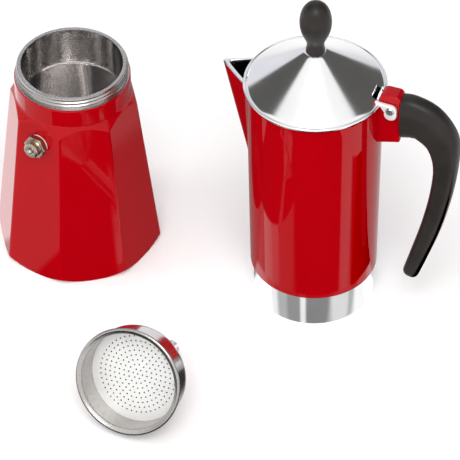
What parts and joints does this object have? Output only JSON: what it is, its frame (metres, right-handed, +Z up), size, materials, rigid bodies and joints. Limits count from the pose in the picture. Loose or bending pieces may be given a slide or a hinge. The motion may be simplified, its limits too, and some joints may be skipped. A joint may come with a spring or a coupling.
{
  "type": "moka pot",
  "caption": "Stove-top moka pot taken apart: eight-sided red boiler with safety valve, tall red serving jug with conical lid, knob and hooked handle, and perforated coffee funnel.",
  "frame": {"origin": "centre of the boiler's flat base, on the table", "axes": "+Z up, +X from the boiler to the jug and its handle, -Y towards the lying funnel"},
  "size_m": [0.2475, 0.1803, 0.1897],
  "materials": {
    "red_enamel": "gloss",
    "cast_aluminium": "satin",
    "polished_aluminium": "polished",
    "spun_aluminium": "polished",
    "satin_plate": "satin",
    "valve_brass": "satin",
    "bright_steel": "satin",
    "white_rubber": "matte",
    "black_nylon": "matte"
  },
  "bodies": {
    "boiler": {"boiler": "red_enamel", "valve_body": "valve_brass", "valve_washer": "white_rubber", "valve_nut": "valve_brass", "valve_spring": "bright_steel"},
    "valve_pin": {"valve_pin": "bright_steel"},
    "hinge_pin": {"lid_hinge_pin": "bright_steel"},
    "jug": {"jug": "red_enamel", "coffee_column": "cast_aluminium", "column_cap": "cast_aluminium", "filter_plate": "satin_plate", "gasket": "white_rubber", "handle": "black_nylon", "handle_screw": "bright_steel"},
    "lid": {"lid": "polished_aluminium", "lid_knob": "black_nylon", "knob_screw": "bright_steel", "knob_washer": "bright_steel"},
    "funnel": {"funnel": "spun_aluminium", "funnel_plate": "satin_plate"}
  },
  "joints": [
    {"name": "jug_onto_boiler", "type": "hinge", "parent": "boiler", "child": "hinge_pin", "pos_m": [0.15203, 0, 0.2456], "axis": [0, -1, 0], "range_deg": [0, 260.82]},
    {"name": "jug_stays_level", "type": "hinge", "parent": "hinge_pin", "child": "jug", "pos_m": [0.1698, 0, 0.1356], "axis": [0, -1, 0], "range_deg": [-260.83, 0]},
    {"name": "lid_hinge", "type": "hinge", "parent": "jug", "child": "lid", "pos_m": [0.1698, 0, 0.1356], "axis": [0, 1, 0], "range_deg": [0, 95]},
    {"name": "valve_pin_slide", "type": "slide", "parent": "boiler", "child": "valve_pin", "axis": [-0.2439, -0.964, 0.1056], "range_m": [0, 0.0015], "stiffness_N_per_m": 500, "springref_m": -0.004, "deforming": ["valve_spring"]},
    {"name": "funnel_lift", "type": "slide", "parent": "boiler", "child": "funnel", "axis": [0, 0, 1], "range_m": [0, 0.12]}
  ],
  "couplings": [
    {"joint": "jug_stays_level", "follows": "jug_onto_boiler", "ratio": -1}
  ]
}
